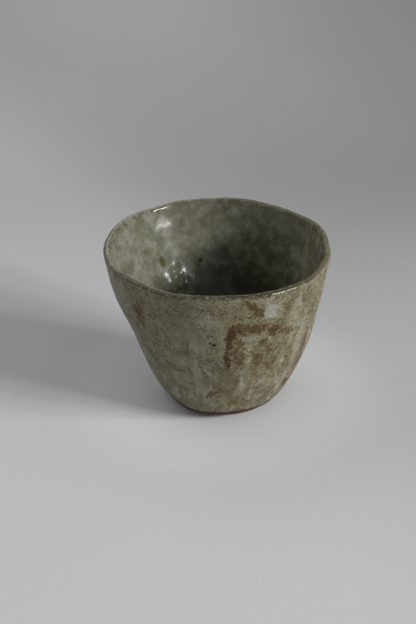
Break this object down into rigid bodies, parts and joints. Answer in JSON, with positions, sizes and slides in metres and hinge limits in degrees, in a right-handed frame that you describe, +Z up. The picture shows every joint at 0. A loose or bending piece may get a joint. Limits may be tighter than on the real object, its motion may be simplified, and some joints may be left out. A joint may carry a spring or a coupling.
{
  "type": "sake cup",
  "caption": "Small hand-pinched stoneware sake cup without a handle, glazed inside and out, leaning slightly, on a low ring of bare clay.",
  "frame": {"origin": "on the table under the middle of the foot ring", "axes": "+Z up; -Y towards the side that the picture shows from the front; +X to its right"},
  "size_m": [0.0708, 0.0719, 0.0544],
  "materials": {
    "bare_clay": "unglazed iron-bearing stoneware, fired dark brown",
    "foot_clay": "unglazed stoneware, smoothed where it stands",
    "inner_glaze": "glossy grey-green glaze with olive clouds and fine specks",
    "outer_glaze": "sandy half-matt grey-green glaze with iron-brown breaks"
  },
  "bodies": {
    "root": {"clay_body": "bare_clay", "foot_ring": "foot_clay", "inner_glaze": "inner_glaze", "outer_glaze": "outer_glaze"}
  },
  "joints": []
}
